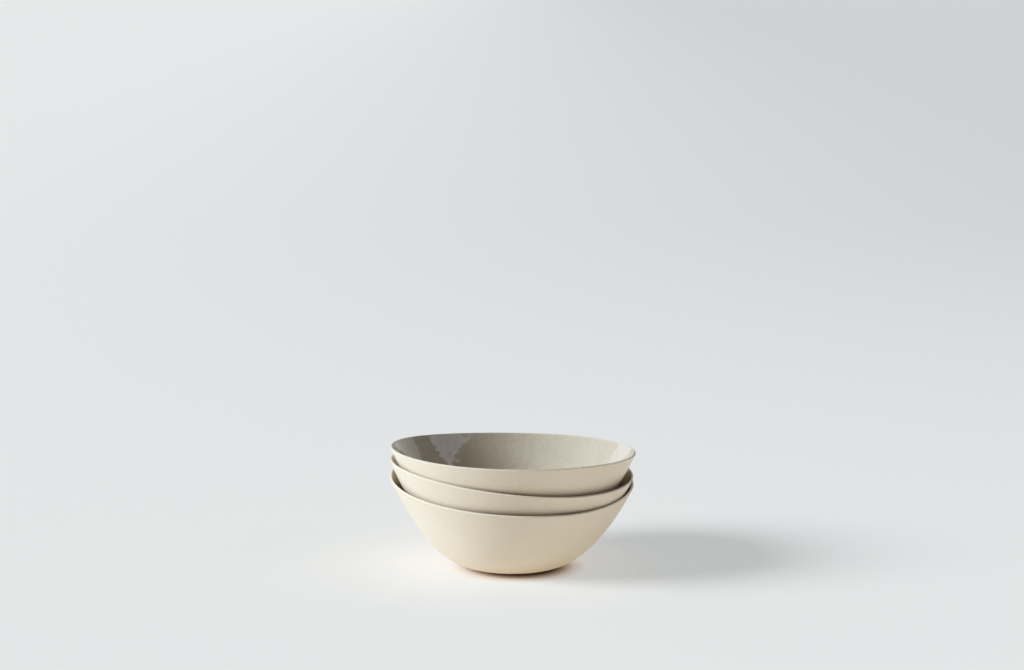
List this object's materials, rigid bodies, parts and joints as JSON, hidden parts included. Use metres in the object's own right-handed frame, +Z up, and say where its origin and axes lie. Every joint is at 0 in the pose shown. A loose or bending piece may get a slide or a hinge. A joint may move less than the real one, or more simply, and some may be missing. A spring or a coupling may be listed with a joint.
{
  "type": "nest of bowls",
  "caption": "Nest of shallow hand-formed porcelain bowls with uneven rims, matt bare clay outside and glossy glaze inside, that lift out of one another.",
  "frame": {"origin": "middle of the bottom bowl's foot, on the surface that the nest stands on", "axes": "+Z up, +X to the right and +Y away from someone who looks at the side with the three rims close together"},
  "size_m": [0.16, 0.1612, 0.0802],
  "materials": {
    "biscuit": "matt, unglazed",
    "glaze": "glossy"
  },
  "bodies": {
    "bottom": {"bottom_bowl": "biscuit", "bottom_glaze": "glaze"},
    "middle": {"middle_bowl": "biscuit", "middle_glaze": "glaze"},
    "top": {"top_bowl": "biscuit", "top_glaze": "glaze"}
  },
  "joints": [
    {"name": "middle_lift", "type": "slide", "parent": "bottom", "child": "middle", "axis": [0, 0, 1], "range_m": [0, 0.065]},
    {"name": "top_lift", "type": "slide", "parent": "middle", "child": "top", "axis": [0, 0, 1], "range_m": [0, 0.065]}
  ]
}
